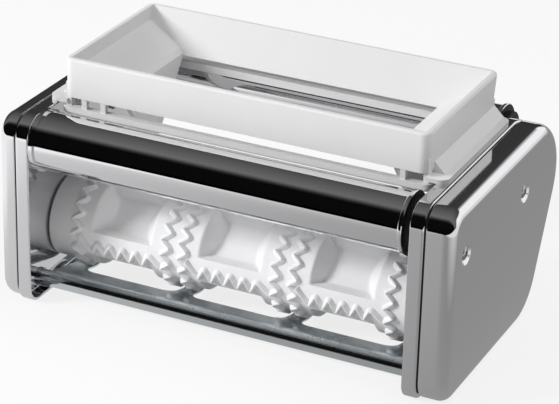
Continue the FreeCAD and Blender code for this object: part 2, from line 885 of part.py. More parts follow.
def prism(points, direction, start, length):
    spots = []
    for a, b in points:
        spots.append(FreeCAD.Vector(start, a, b) if direction == "x" else FreeCAD.Vector(a, start, b))
    face = Part.Face(Part.makePolygon(spots + spots[:1]))
    way = X_AXIS if direction == "x" else FreeCAD.Vector(0, 1, 0)
    return face.extrude(way * length)


def box(x0, x1, y0, y1, z0, z1):
    return Part.makeBox(x1 - x0, y1 - y0, z1 - z0, FreeCAD.Vector(x0, y0, z0))


def near_edges(shape, test):
    return [edge for edge in shape.Edges if test(edge)]


# Hopper: a moulded tray with leaning inner walls, a slot, end cheeks and a locating frame
def hopper():
    half = (rim_x - z.hopper_side).value
    front = -z.hopper_front.value
    rear = z.hopper_rear.value
    top = z.hopper_top.value
    low = top - z.hopper_skirt.value
    rake = (top - low) * math.tan(math.radians(z.hopper_rake.value))
    wall = z.rim_wall.value
    mouth = z.mouth_half.value
    slot_front = -z.mouth_front.value
    slot_rear = z.mouth_rear.value
    side = [(front, low), (rear - rake, low), (rear, top), (front, top)]
    outer = prism(side, "x", -half, half * 2)
    corners = near_edges(outer, lambda e: abs(abs(e.CenterOfMass.x) - half) < 1e-6 and
                         abs(e.CenterOfMass.z - (top + low) / 2) < 0.5)
    outer = outer.makeFillet(z.hopper_corner.value, corners)
    rim = near_edges(outer, lambda e: abs(e.CenterOfMass.z - top) < 1e-6)
    outer = outer.makeFillet(z.rim_round.value, rim)
    step = top - z.end_step.value
    crease_x = mouth + z.crease_step.value
    crease_z = top - z.crease_drop.value
    ends = [
        (-mouth, low - 1), (mouth, low - 1), (mouth, low), (crease_x, crease_z), (half - wall, step),
        (half - wall, top + 1), (-half + wall, top + 1), (-half + wall, step), (-crease_x, crease_z),
        (-mouth, low),
    ]
    lean = [
        (slot_front, low - 1), (slot_rear, low - 1), (slot_rear, low), (rear - wall, top),
        (rear - wall, top + 1), (front + wall, top + 1), (front + wall, top), (slot_front, low),
    ]
    cavity = prism(ends, "y", front - 1, rear - front + 2).common(prism(lean, "x", -half, half * 2))
    shape = outer.cut(cavity)
    skin = z.panel_wall.value
    shift_front = skin * math.hypot(top - low, slot_front - front - wall) / (top - low)
    rise_front = (slot_front - shift_front - front - wall) * (top - low) / (slot_front - front - wall)
    shift_rear = skin * math.hypot(top - low, rear - wall - slot_rear) / (top - low)
    back = rear - rake - wall
    rise_rear = (back - slot_rear - shift_rear) * (top - low) / (rear - wall - slot_rear)
    slope = (step - crease_z) / (half - wall - crease_x)
    drop = skin * math.hypot(1, slope)
    inner_x = half - wall
    hollows = [
        prism([(front + wall, low - 1), (slot_front - shift_front, low - 1), (slot_front - shift_front, low),
               (front + wall, low + rise_front)], "x", -inner_x, inner_x * 2),
        prism([(back, low - 1), (slot_rear + shift_rear, low - 1), (slot_rear + shift_rear, low),
               (back, low + rise_rear)], "x", -inner_x, inner_x * 2),
    ]
    start_x = crease_x + skin
    for sign in (-1, 1):
        hollows.append(prism([
            (sign * start_x, low - 1), (sign * start_x, crease_z + skin * slope - drop),
            (sign * inner_x, step - drop), (sign * inner_x, low - 1),
        ], "y", front + wall, back - front - wall))
    shape = shape.cut(hollows)
    # Cheeks hang down between the two bars
    depth = top - z.cheek_drop.value
    narrow = (low - depth) * z.cheek_lean.value
    cheek = [(slot_front - 1.2, low + 0.8), (slot_rear + 1.2, low + 0.8), (slot_rear - narrow, depth),
             (slot_front + narrow, depth)]
    thick = z.cheek_thick.value
    extra = [prism(cheek, "x", mouth, thick), prism(cheek, "x", -mouth - thick, thick)]
    # Locating frame between the plates, held by the end walls and three front ribs
    base_top = top - z.base_drop.value
    base_low = base_top - z.base_thick.value
    base = (rim_x - z.base_side).value
    bar = z.base_wall.value
    tail = rear - rake
    frame = box(-base, base, front, tail, base_low, base_top)
    posts = near_edges(frame, lambda e: abs(e.CenterOfMass.z - (base_low + base_top) / 2) < 1e-6)
    frame = frame.makeFillet(z.hopper_corner.value, posts)
    under = near_edges(frame, lambda e: abs(e.CenterOfMass.z - base_low) < 1e-6)
    frame = frame.makeFillet(z.rim_round.value, under)
    inside = box(-base + bar, base - bar, front + bar, tail - bar, base_low - 1, base_top + 1)
    extra.append(frame.cut(inside))
    rib = z.rib_wide.value
    for x in (z.rib_left.value, z.rib_inner.value, z.rib_right.value):
        extra.append(box(x - rib / 2, x + rib / 2, front + 0.4, front + wall, base_top - 0.4, low + 0.8))
    foot_x = (web_x - z.foot_side).value
    rest = z.plate_top.value
    foot_top = rest + z.foot_high.value
    flare = z.foot_flare.value
    foot_front = front + z.foot_inset.value
    for sign in (-1, 1):
        leg = [(sign * inner_x, base_low + 0.4), (sign * half, base_low + 0.4), (sign * half, foot_top),
               (sign * (half + flare), foot_top), (sign * half, foot_top + flare), (sign * half, low + 6),
               (sign * inner_x, low + 6)]
        extra.append(prism(leg, "y", foot_front, tail - foot_front - 0.4))
        flange = box(min(sign * (half - 1), sign * foot_x), max(sign * (half - 1), sign * foot_x),
                     -z.foot_front.value, tail - 0.4, rest, foot_top)
        corners = near_edges(flange, lambda e: abs(e.CenterOfMass.x - sign * foot_x) < 1e-6 and
                             abs(e.CenterOfMass.z - (rest + foot_top) / 2) < 1e-6)
        extra.append(flange.makeFillet(z.hopper_corner.value, corners))
        corner = box(min(sign * inner_x, sign * half), max(sign * inner_x, sign * half),
                     front + 1.8, front + 5, base_low + 1.2, low + 6)
        extra.append(corner)
    shape = shape.fuse(extra)
    if len(shape.Solids) != 1:
        raise RuntimeError("the hopper is not one solid")
    feature("hopper", shape.Solids[0], mid_x)


for side, sign in SIDES.items():
    side_plate(side, sign)
    cover(side, sign)
for end, sign in ENDS.items():
    guide_bar(end)
    tie_rod(end)
washers()
plate_screws()
cover_posts()
bushes()
shafts()
collar()
clips()
gears()
mould_rollers()
combs()
hopper()
doc.recompute()

os.makedirs("parts", exist_ok=True)
for obj in doc.Objects:
    if "Invalid" in obj.State or "Error" in obj.State:
        raise RuntimeError(f"{obj.Name} {obj.Label} did not recompute")
for obj in nodes:
    if obj.Shape.isNull() or not obj.Shape.isValid():
        raise RuntimeError(f"{obj.Label} has no valid shape")
    obj.Shape.exportStep(f"parts/{obj.Label}.step")
    print(obj.Label, len(obj.Shape.Solids), round(obj.Shape.Volume), flush=True)
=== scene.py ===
import math

import bmesh
import bpy
import numpy as np
from mathutils import Matrix, Vector


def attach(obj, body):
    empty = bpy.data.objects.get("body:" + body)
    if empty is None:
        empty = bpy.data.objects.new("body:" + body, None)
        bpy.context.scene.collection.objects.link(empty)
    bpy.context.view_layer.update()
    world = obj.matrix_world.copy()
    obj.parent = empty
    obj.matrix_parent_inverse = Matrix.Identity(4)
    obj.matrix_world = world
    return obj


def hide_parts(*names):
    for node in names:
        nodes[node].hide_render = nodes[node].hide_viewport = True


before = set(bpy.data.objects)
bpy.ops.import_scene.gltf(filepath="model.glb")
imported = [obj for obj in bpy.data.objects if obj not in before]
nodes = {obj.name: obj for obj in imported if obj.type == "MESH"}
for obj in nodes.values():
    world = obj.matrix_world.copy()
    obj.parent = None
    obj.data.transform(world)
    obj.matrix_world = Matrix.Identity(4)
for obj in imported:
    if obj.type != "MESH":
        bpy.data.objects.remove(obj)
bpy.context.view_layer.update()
mm = 0.001
print("frame loaded:", len(nodes), "nodes")


# A mesh from points and four sided faces, put into Blender as whole arrays
def meshObject(name, points, faces, sharpAngle=35.0):
    mesh = bpy.data.meshes.new(name)
    points = np.asarray(points, dtype=np.float32).reshape(-1, 3)
    faces = np.asarray(faces, dtype=np.int32)
    mesh.vertices.add(len(points))
    mesh.vertices.foreach_set("co", points.ravel())
    mesh.loops.add(faces.size)
    mesh.loops.foreach_set("vertex_index", faces.ravel())
    mesh.polygons.add(len(faces))
    mesh.polygons.foreach_set("loop_start", np.arange(len(faces), dtype=np.int32) * faces.shape[1])
    mesh.update(calc_edges=True)
    mesh.validate()
    mesh.shade_smooth()
    mesh.set_sharp_from_angle(angle=math.radians(sharpAngle))
    return linked(name, mesh)


def linked(name, mesh):
    piece = bpy.data.objects.new(name, mesh)
    bpy.context.scene.collection.objects.link(piece)
    return piece


# Faces of a grid of rows by columns, wrapped in either direction
def gridFaces(rows, columns, wrapRows=False, wrapColumns=False, start=0):
    r = np.arange(rows if wrapRows else rows - 1)
    c = np.arange(columns if wrapColumns else columns - 1)
    a, b = np.meshgrid(r, c, indexing="ij")
    down, right = (a + 1) % rows, (b + 1) % columns
    here, below = a * columns, down * columns
    return np.stack([here + b, below + b, below + right, here + right], axis=-1).reshape(-1, 4) + start


# Normals of a closed piece made to point outwards, its doubles merged first where asked
def pointOutwards(piece, merge=0.0):
    work = bmesh.new()
    work.from_mesh(piece.data)
    if merge > 0:
        bmesh.ops.remove_doubles(work, verts=work.verts, dist=merge)
    bmesh.ops.recalc_face_normals(work, faces=work.faces)
    work.to_mesh(piece.data)
    work.free()
    return piece


# A half section of (x, radius) corners turned about a line along X:
# y = radius * cos(angle), z = radius * sin(angle)
def turnedPiece(name, section, centre, sides=96):
    section = np.asarray(section, dtype=float)
    angle = np.linspace(0, 2 * math.pi, sides, endpoint=False)
    x = np.repeat(section[:, :1], sides, axis=1)
    y = section[:, 1:] * np.cos(angle)
    z = section[:, 1:] * np.sin(angle)
    points = np.stack([x + centre[0], y + centre[1], z + centre[2]], axis=-1) * mm
    piece = meshObject(name, points, gridFaces(len(section), sides, wrapColumns=True))
    return pointOutwards(piece, 1e-7)


# A section drawn with x outwards, for the left (-1) or the right (1) side
def facing(side, section):
    return [(side * out, radius) for out, radius in section]


# Points on a circle about (centreA, centreB), between two angles in degrees
def arcPoints(centreA, centreB, radius, first, last, count):
    angle = np.radians(np.linspace(first, last, count))
    return np.stack([centreA + radius * np.cos(angle), centreB + radius * np.sin(angle)], axis=-1)


# A box about the origin, its six faces named by their corners
def boxPiece(name, size):
    x, y, z = [0.5 * value * mm for value in size]
    points = [(a * x, b * y, c * z) for a in (-1, 1) for b in (-1, 1) for c in (-1, 1)]
    faces = [(0, 1, 3, 2), (4, 6, 7, 5), (0, 4, 5, 1), (2, 3, 7, 6), (0, 2, 6, 4), (1, 5, 7, 3)]
    return pointOutwards(meshObject(name, points, faces))


# The piece less its cutters, with its flat faces kept flat in the shading
def carve(piece, cutters, sharpAngle=40.0):
    for cutter in cutters:
        modifier = piece.modifiers.new("carve", "BOOLEAN")
        modifier.object = cutter
        modifier.solver = "EXACT"
    finish = piece.modifiers.new("flatFaces", "WEIGHTED_NORMAL")
    finish.keep_sharp = True
    piece.data.set_sharp_from_angle(angle=math.radians(sharpAngle))
    graph = bpy.context.evaluated_depsgraph_get()
    made = bpy.data.meshes.new_from_object(piece.evaluated_get(graph))
    piece.modifiers.clear()
    piece.data = made
    for cutter in cutters:
        bpy.data.objects.remove(cutter)
    return piece


# Several pieces made into one mesh
def joined(name, parts):
    work = bmesh.new()
    for part in parts:
        work.from_mesh(part.data)
        bpy.data.objects.remove(part)
    mesh = bpy.data.meshes.new(name)
    work.to_mesh(mesh)
    work.free()
    return linked(name, mesh)


# Camera: where the photograph was taken from, in millimetres, with its right and up directions
camera = {
    "place": (392.8, -839.4, 481.0),
    "right": (0.90010, 0.43503, 0.02427),
    "up": (-0.20580, 0.37540, 0.90374),
    "lens": 155.09,
    "sensor": 36.0,
    "near": 0.01,
    "far": 50.0,
}


def addCamera():
    data = bpy.data.cameras.new("photoCamera")
    data.lens = camera["lens"]
    data.sensor_width = camera["sensor"]
    data.sensor_fit = "HORIZONTAL"
    data.clip_start = camera["near"]
    data.clip_end = camera["far"]
    eye = linked("photoCamera", data)
    right = Vector(camera["right"]).normalized()
    up = Vector(camera["up"])
    up = (up - right * up.dot(right)).normalized()
    turn = Matrix((right, up, right.cross(up))).transposed()
    eye.matrix_world = Matrix.Translation(Vector(camera["place"]) * mm) @ turn.to_4x4()
    bpy.context.scene.camera = eye


def newMaterial(name):
    material = bpy.data.materials.new(name)
    material.use_nodes = True
    tree = material.node_tree
    shader = tree.nodes["Principled BSDF"]
    return material, tree, shader


# A shader node with values for its own settings or, where it has no such setting, for its sockets
def addNode(tree, kind, **values):
    made = tree.nodes.new(kind)
    for key, value in values.items():
        if hasattr(made, key):
            setattr(made, key, value)
        else:
            made.inputs[key].default_value = value
    return made


# Noise stretched along an axis, as a value between two limits and as it comes
def noiseBand(tree, scale, stretch, low, high, detail=4.0):
    place = addNode(tree, "ShaderNodeTexCoord")
    shape = addNode(tree, "ShaderNodeMapping", Scale=stretch)
    noise = addNode(tree, "ShaderNodeTexNoise", Scale=scale, Detail=detail)
    band = addNode(tree, "ShaderNodeMapRange")
    band.inputs["To Min"].default_value = low
    band.inputs["To Max"].default_value = high
    tree.links.new(place.outputs["Object"], shape.inputs["Vector"])
    tree.links.new(shape.outputs["Vector"], noise.inputs["Vector"])
    tree.links.new(noise.outputs["Fac"], band.inputs["Value"])
    return band.outputs["Result"], noise.outputs["Fac"]


def addBump(tree, shader, height, strength, distance):
    bump = addNode(tree, "ShaderNodeBump", Strength=strength, Distance=distance)
    tree.links.new(height, bump.inputs["Height"])
    tree.links.new(bump.outputs["Normal"], shader.inputs["Normal"])


even = (1, 1, 1)
alongX = (0.1, 1, 1)  # drawn out ten times along X, as a brushed grain
barGrain = (0.05, 1, 1)


# Metal: one colour, roughness that wanders, and a fine grain along one axis
def metal(name, colour, rough, spread, grain=even, grainScale=900.0, bump=0.03):
    material, tree, shader = newMaterial(name)
    shader.inputs["Metallic"].default_value = 1.0
    shader.inputs["Base Color"].default_value = (*colour, 1)
    wander, _ = noiseBand(tree, 60.0, even, rough - spread, rough + spread)
    tree.links.new(wander, shader.inputs["Roughness"])
    _, fine = noiseBand(tree, grainScale, grain, 0, 1, 2.0)
    addBump(tree, shader, fine, bump, 0.0002)
    return material


# Moulded plastic: a faint cloud in the colour and a fine matte skin
def plastic(name, colour, rough, cloud=0.03, skin=0.05, spread=0.04):
    material, tree, shader = newMaterial(name)
    value, _ = noiseBand(tree, 35.0, even, 0, 1)
    mix = addNode(tree, "ShaderNodeMix", data_type="RGBA")
    mix.inputs[6].default_value = (*[c * (1 - cloud) for c in colour], 1)
    mix.inputs[7].default_value = (*[min(1, c * (1 + cloud)) for c in colour], 1)
    tree.links.new(value, mix.inputs[0])
    tree.links.new(mix.outputs[2], shader.inputs["Base Color"])
    wander, _ = noiseBand(tree, 90.0, even, rough - spread, rough + spread)
    tree.links.new(wander, shader.inputs["Roughness"])
    _, fine = noiseBand(tree, 1800.0, even, 0, 1, 2.0)
    addBump(tree, shader, fine, skin, 0.0001)
    return material


finishes = {
    "polishedSteel": metal("polishedSteel", (0.84, 0.84, 0.855), 0.06, 0.02, even, 700, 0.01),
    "barSteel": metal("barSteel", (0.84, 0.84, 0.855), 0.045, 0.015, barGrain, 900, 0.01),
    "satinSteel": metal("satinSteel", (0.74, 0.77, 0.79), 0.16, 0.04, alongX, 900, 0.03),
    "combSteel": metal("combSteel", (0.78, 0.84, 0.86), 0.27, 0.05, alongX, 900, 0.04),
    "screwSteel": metal("screwSteel", (0.42, 0.43, 0.45), 0.22, 0.03),
    "hopperPlastic": plastic("hopperPlastic", (0.78, 0.78, 0.78), 0.36),
    "rollerPlastic": plastic("rollerPlastic", (0.86, 0.86, 0.87), 0.30),
    "gearPlastic": plastic("gearPlastic", (0.62, 0.60, 0.54), 0.45),
    "bushPlastic": plastic("bushPlastic", (0.03, 0.03, 0.035), 0.40),
    # Near-black matte colour painted where seams and gaps lie in shade: painted shade, not a dark part of
    # the thing
    "paintedSeamShade": plastic("paintedSeamShade", (0.012, 0.012, 0.014), 0.6),
}

# The first word found in a node's name decides its finish, and the rest are satin steel
finishWords = {
    "clip": "screwSteel", "washers": "screwSteel", "screws": "screwSteel", "posts": "screwSteel",
    "collar": "screwSteel", "hopper": "hopperPlastic", "mould_roller": "rollerPlastic",
    "gear": "gearPlastic", "bushes": "bushPlastic", "guide_bar": "barSteel", "_cap": "barSteel",
    "cover": "polishedSteel", "plate": "polishedSteel", "comb": "combSteel",
}


def dressNodes():
    for name, obj in nodes.items():
        found = [finish for word, finish in finishWords.items() if word in name]
        obj.data.materials.clear()
        obj.data.materials.append(finishes[(found + ["satinSteel"])[0]])


# Finish for the whole piece and, where some faces are chosen, a near-black matte colour for those: painted
# shade for unlit gaps
def finishPiece(piece, finish, dark=None):
    piece.data.materials.clear()
    piece.data.materials.append(finishes[finish])
    if dark is not None:
        piece.data.materials.append(finishes["paintedSeamShade"])
        piece.data.polygons.foreach_set("material_index", dark.astype(np.int32))
        piece.data.update()


# Centre or normal of each face, one row a face
def faceValues(piece, what):
    values = np.empty(len(piece.data.polygons) * 3, dtype=np.float32)
    piece.data.polygons.foreach_get(what, values)
    return values.reshape(-1, 3)


dressNodes()
addCamera()
print("nodes dressed")


# Mould rollers, in millimetres and degrees, with x from the middle between the plates
roller = {
    "middle": -1.95, "out": 20.8, "height": 25.9,
    "radius": 18.5, "end": 90.0, "shaft": 5.0, "shaftGap": 0.1, "faceRing": 12.0,
    "round": 0.6, "roundStep": 0.18,
    "columns": (-54.5, -3.3, 48.1), "span": 43.0, "rows": 3,
    "pocketFirst": -10.0, "pocketHalf": 14.3, "pocketAngle": 40.0, "floor": 10.5, "draft": 37.0, "lean": 1.0,
    "endBlend": 1.6, "cornerBlend": 2.4, "lipBlend": 5.0, "lipReach": 1.2,
    "ridge": 2.0, "half": 1.45, "crest": 1.3, "sink": 0.9, "cut": 0.1,
    "roundTeeth": 18, "roundSwing": 4.6, "roundTurn": 2.0,
    "first": -12.5, "crossTeeth": 5, "crossPitch": 6.15, "crossSwing": 17.0, "crossShift": 0.18,
    "crossStart": (1.5, 1.6), "crossEnd": (2.0, 0.9),
    "step": 0.55, "turns": 240,
}


# The higher of two heights, blended where they are close: log(e^(s a) + e^(s b)) / s
def smoothHigher(a, b, sharpness):
    return np.logaddexp(a * sharpness, b * sharpness) / sharpness


# r = the drum's radius, cut down in each pocket to a flat floor with drafted flanks:
# along x the flank rises from the floor at the draft, and round the drum it leans at a steady slope
def rollerRadius(x, angle):
    k = roller
    drum, floor = k["radius"], k["floor"]
    far, limit = 99.0, 60.0  # heights well past the drum, where a pocket doesn't reach
    r = np.full(x.shape, drum)
    draft = math.tan(math.radians(k["draft"]))
    low = k["pocketHalf"] - (drum - floor) * draft
    edge = math.radians(k["pocketAngle"])
    flat = drum * math.sin(edge) - (drum * math.cos(edge) - floor) * k["lean"]
    for column in k["columns"]:
        flank = floor + np.maximum(np.abs(x - column) - low, 0) / draft
        for row in range(k["rows"]):
            middle = math.radians(k["pocketFirst"] + 360.0 * (row + 0.5) / k["rows"])
            phi = (angle - middle + math.pi) % (2 * math.pi) - math.pi
            cosine = np.cos(phi)
            under = cosine - np.abs(np.sin(phi)) / k["lean"]
            safe = np.where(under > 0.05, under, 1.0)
            slope = np.where(under > 0.05, (floor - flat / k["lean"]) / safe, far)
            level = np.where(cosine > 0.3, floor / np.maximum(cosine, 0.3), far)
            slab = smoothHigher(level, slope, k["endBlend"])
            cut = smoothHigher(np.minimum(slab, limit), np.minimum(flank, limit), k["cornerBlend"])
            lip = -smoothHigher(-cut, -drum, k["lipBlend"])
            r = np.minimum(r, np.where(cut < drum + k["lipReach"], lip, drum))
    return r


# Corners of a path cut off a tenth of the way along each run, twice over
def softened(path, closed):
    path = np.asarray(path, dtype=float)
    cut = roller["cut"]
    for _ in range(2):
        here = path if closed else path[:-1]
        there = np.roll(path, -1, axis=0) if closed else path[1:]
        if closed:
            there[-1] += closed
        near, past = here * (1 - cut) + there * cut, here * cut + there * (1 - cut)
        corners = np.stack([near, past], axis=1).reshape(-1, 2)
        path = corners if closed else np.vstack([path[:1], corners, path[-1:]])
    return path


# A ridge along a path of (x, arc length) on the drum, closed by the length of one turn:
# height = ridge * (1 - |u| ^ crest) across its half width u, its feet sunk into the drum
def addRidge(path, closed, points, faces):
    k = roller
    path = softened(path, closed)
    before = np.roll(path, 1, axis=0)
    after = np.roll(path, -1, axis=0)
    if closed:
        before[0] = before[0] - closed
        after[-1] = after[-1] + closed
    else:
        before[0] = path[0]
        after[-1] = path[-1]
    way = after - before
    way /= np.hypot(way[:, 0], way[:, 1])[:, None]
    across = np.stack([-way[:, 1], way[:, 0]], axis=1)
    u = np.array([-1.0, -0.97, -0.7, -0.4, -0.13, 0.13, 0.4, 0.7, 0.97, 1.0])
    lift = k["ridge"] * (1 - np.abs(u) ** k["crest"])
    lift[0] = lift[-1] = -k["sink"]
    grid = path[:, None, :] + across[:, None, :] * (u * k["half"])[None, :, None]
    radius = np.broadcast_to(k["radius"] + lift, grid.shape[:2]).copy()
    if not closed:
        radius[0] = radius[-1] = k["radius"] - k["sink"]
    angle = grid[..., 1] / k["radius"]
    start = sum(len(block) for block in points)
    ridge = np.stack([grid[..., 0], radius * np.cos(angle), radius * np.sin(angle)], axis=-1)
    points.append(ridge.reshape(-1, 3))
    faces.append(gridFaces(len(path), len(u), bool(closed), True, start))


# Zigzag round the drum: x swings to either side of its place, tooth after tooth
def roundPath(place):
    k = roller
    chain = []
    for index in range(k["roundTeeth"] * 2):
        towards = 1 if index % 2 == 0 else -1
        turn = math.pi * (index + 1) / k["roundTeeth"] + math.radians(k["roundTurn"])
        chain.append((place + towards * k["roundSwing"] / 2, turn * k["radius"]))
    return chain


# Zigzag along the drum: the angle swings to either side of its middle, from one round ridge to the next
def crossPath(column, row):
    k = roller
    middle = math.radians(k["first"] + 360.0 * row / k["rows"])
    half = math.radians(k["crossSwing"]) / 2
    (startIn, startRise), (endIn, endFall) = k["crossStart"], k["crossEnd"]
    chain = [(column - k["span"] / 2 + startIn, (middle + half * startRise) * k["radius"])]
    for index in range(k["crossTeeth"] * 2):
        towards = 1 if index % 2 else -1
        place = column + k["crossPitch"] * (index / 2 - k["crossTeeth"] / 2 + k["crossShift"])
        chain.append((place, (middle + towards * half) * k["radius"]))
    chain.append((column + k["span"] / 2 - endIn, (middle - half * endFall) * k["radius"]))
    return chain


def allRidges():
    k = roller
    points, faces = [], []
    oneTurn = (0.0, 2 * math.pi * k["radius"])
    for column in k["columns"]:
        for sign in (-1, 1):
            addRidge(roundPath(column + sign * k["span"] / 2), oneTurn, points, faces)
        for row in range(k["rows"]):
            addRidge(crossPath(column, row), None, points, faces)
    return np.vstack(points), np.vstack(faces)


# Drum: (x, r cos(angle), r sin(angle)) over x and angle, with end faces and the ridges laid on it
def addRoller(name, side):
    k = roller
    rim, end = k["radius"], k["end"]
    ends = [(-end, k["shaft"] + k["shaftGap"]), (-end, k["faceRing"]), (-end, rim - k["round"])]
    ends.append((-end + k["roundStep"], rim - k["roundStep"]))
    count = int(round(2 * end / k["step"])) + 1
    x = np.linspace(-end + k["round"], end - k["round"], count)
    angle = np.linspace(0, 2 * math.pi, k["turns"], endpoint=False)
    endRadii = np.repeat(np.array([[radius] for _, radius in ends]), k["turns"], axis=1)
    radii = np.concatenate([endRadii, rollerRadius(*np.meshgrid(x, angle, indexing="ij")), endRadii[::-1]])
    places = np.concatenate([[place for place, _ in ends], x, [-place for place, _ in reversed(ends)]])
    gridX, gridA = np.meshgrid(places, angle, indexing="ij")
    drum = np.stack([gridX, radii * np.cos(gridA), radii * np.sin(gridA)], axis=-1).reshape(-1, 3)
    ridges, ridgeFaces = allRidges()
    points = np.vstack([drum, ridges])
    faces = np.vstack([gridFaces(len(places), k["turns"], True, True), ridgeFaces + len(drum)])
    points = points * np.array([1, side, 1]) + np.array([k["middle"], side * k["out"], k["height"]])
    piece = pointOutwards(meshObject(name, points * mm, faces, 50.0))
    finishPiece(piece, "rollerPlastic")
    return piece


for end, side in (("front", -1), ("rear", 1)):
    drum = addRoller(f"{end}MouldDrum", side)
    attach(drum, f"{end}_roller")
    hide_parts(f"{end}_mould_roller")
print("rollers made")


# Side outline of covers and plates: four rounds and the leaning edge at the back
outline = {
    "front": -62.5, "back": 60.0, "top": 85.2, "lean": 25.5,
    "topRound": 9.5, "heelRound": 24.0, "backRound": 26.0, "count": 22,
}


# Four arcs joined by straight runs, drawn in by an inset: the heel touches the floor and the leaning edge
def sideOutline(inset, toe):
    k = outline
    lean = math.radians(k["lean"])
    top, heel, back = k["topRound"], k["heelRound"], k["backRound"]
    backY, backZ = k["back"] - back, k["top"] - back
    touchY, touchZ = backY + back * math.cos(lean), backZ - back * math.sin(lean)
    heelY = touchY - touchZ * math.tan(lean) + heel * math.tan(lean) - heel / math.cos(lean)
    arcs = (
        (k["front"] + top, k["top"] - top, top, 90, 180),
        (k["front"] + toe, toe, toe, 180, 270),
        (heelY, heel, heel, 270, 360 - k["lean"]),
        (backY, backZ, back, 360 - k["lean"], 450),
    )
    count = k["count"]
    return np.vstack([arcPoints(y, z, r - inset, first, last, count) for y, z, r, first, last in arcs])


# A closed shell through stations of (x outwards, inset): the outline drawn in at each, and a flat end face
def outlineShell(name, side, start, stations, toe):
    count = outline["count"] * 4
    points = []
    for out, inset in stations:
        x = np.full(count, roller["middle"] + side * (start + out))
        points.append(np.column_stack([x, sideOutline(inset, toe)]))
    points = np.vstack(points) * mm
    faces = gridFaces(len(stations), count, wrapColumns=True).tolist()
    faces.append(list(range(count)))
    faces.append([(len(stations) - 1) * count + i for i in range(count)])
    mesh = bpy.data.meshes.new(name)
    mesh.from_pydata([tuple(point) for point in points], [], faces)
    piece = pointOutwards(linked(name, mesh))
    mesh.shade_smooth()
    return piece


# A cutter for a straight hole along X, from first to last
def holeCutter(radius, first, last, centre, sides):
    section = [(first, 0.0), (first, radius), (last, radius), (last, 0.0)]
    return turnedPiece("hole", section, centre, sides)


# Covers: a joggled lip in the seam, painted near black as shade, straight walls, a 5 mm round and two
# dimples
cover = {
    "start": 91.85, "depth": {-1: 8.45, 1: 12.35}, "wall": 4.0, "face": 3.0,
    "seam": {-1: 0.2, 1: 0.75}, "lip": 0.9, "lipStep": 0.5, "seamEdge": 0.35, "toe": 10.5,
    "round": 5.0, "roundCount": 14,
    "dimples": ((-47.0, 63.2), (18.0, 63.2)), "deep": 1.4, "dishRound": 0.15,
    "socket": (-20.8, 25.9), "socketRadius": 9.2,
}


# Quarter round at the end of a wall: out = radius * sin(t), inset = radius * (1 - cos(t))
def roundArc(out, radius, count):
    turn = np.linspace(0, math.pi / 2, count)
    return [(out + radius * math.sin(t), radius * (1 - math.cos(t))) for t in turn]


def addCover(name, side):
    k = cover
    depth, seam, lip, edge = k["depth"][side], k["seam"][side], k["lip"], k["seamEdge"]
    stations = [(depth - k["face"], k["wall"]), (0.0, k["wall"]), (0.0, lip + k["lipStep"]), (0.0, lip)]
    stations += [(seam, lip), (seam, edge), (seam + 0.12, 0.1), (seam + edge, 0.0)]
    stations += roundArc(depth - k["round"], k["round"], k["roundCount"])
    piece = outlineShell(name, side, k["start"], stations, k["toe"])
    face = roller["middle"] + side * (k["start"] + depth)
    deep = k["deep"]
    dish = [(-deep, 0.0), (-deep, 2.7), (k["dishRound"] - deep, 3.1), (-0.25, 4.6), (0.0, 5.0)]
    dish += [(k["dishRound"], 5.6), (1.0, 5.6), (1.0, 0.0)]
    cutters = [turnedPiece("dish", facing(side, dish), (face, *spot), 48) for spot in k["dimples"]]
    if side < 0:
        cutters.append(holeCutter(k["socketRadius"], -3.0, 20.0, (face, *k["socket"]), 72))
    piece = carve(piece, cutters)
    # Lip faces inside the seam are painted near black: painted shade for the shadow in the gap
    seamEnd = abs(roller["middle"] + side * (k["start"] + seam + 0.02)) * mm
    seamShadeFaces = np.abs(faceValues(piece, "center")[:, 0]) < seamEnd
    finishPiece(piece, "polishedSteel", seamShadeFaces & (np.abs(faceValues(piece, "normal")[:, 0]) < 0.5))
    return piece


# Side plates: sheet with a bend on the outside, a rim turned inwards and holes for the shafts and screws
plate = {
    "outer": 91.8, "sheet": 1.3, "rim": 6.3, "bend": 1.2, "toe": 7.5,
    "shafts": ((-20.8, 25.9), (20.8, 25.9)), "shaftHole": 7.55,
    "screws": ((-49.0, 72.4), (49.0, 72.4), (-45.5, 5.4), (44.6, 34.0), (-47.0, 63.2), (18.0, 63.2)),
    "screwHole": 1.55, "reach": 3.0,
}


# Stations go in from the outer face: a quarter round bend, the rim, its half round edge and the inner corner
def addPlate(name, side):
    k = plate
    sheet, bend, edge = k["sheet"], k["bend"], k["sheet"] / 2
    bendTurn, edgeTurn = np.linspace(0.2, math.pi / 2, 8), np.linspace(0.0, math.pi, 9)
    rimEnd = k["rim"] - edge
    stations = [(0.0, bend)]
    stations += [(bend * (1 - math.cos(t)), bend * (1 - math.sin(t))) for t in bendTurn]
    stations += [(rimEnd + edge * math.sin(t), edge - edge * math.cos(t)) for t in edgeTurn]
    stations += [(sheet + 0.9, sheet), (sheet + 0.25, sheet + 0.25), (sheet, sheet + 0.9)]
    piece = outlineShell(name, side, k["outer"], [(-into, inset) for into, inset in stations], k["toe"])
    x = roller["middle"] + side * k["outer"]
    reach = k["reach"]
    cutters = [holeCutter(k["shaftHole"], -reach, reach, (x, *spot), 40) for spot in k["shafts"]]
    cutters += [holeCutter(k["screwHole"], -reach, reach, (x, *spot), 40) for spot in k["screws"]]
    piece = carve(piece, cutters)
    finishPiece(piece, "polishedSteel")
    return piece


# Cover screws: a domed head with a cross cut into it, seated in the dimple
coverScrew = {
    "shank": 1.4, "length": 3.4, "head": 2.7,
    "dome": ((0.35, 2.85), (0.8, 2.55), (1.2, 1.7), (1.35, 0.8), (1.38, 0.0)),
    "slot": (1.6, 3.0, 0.55), "slotOut": 1.5, "slotTurns": (25.0, 115.0), "sides": 40,
}


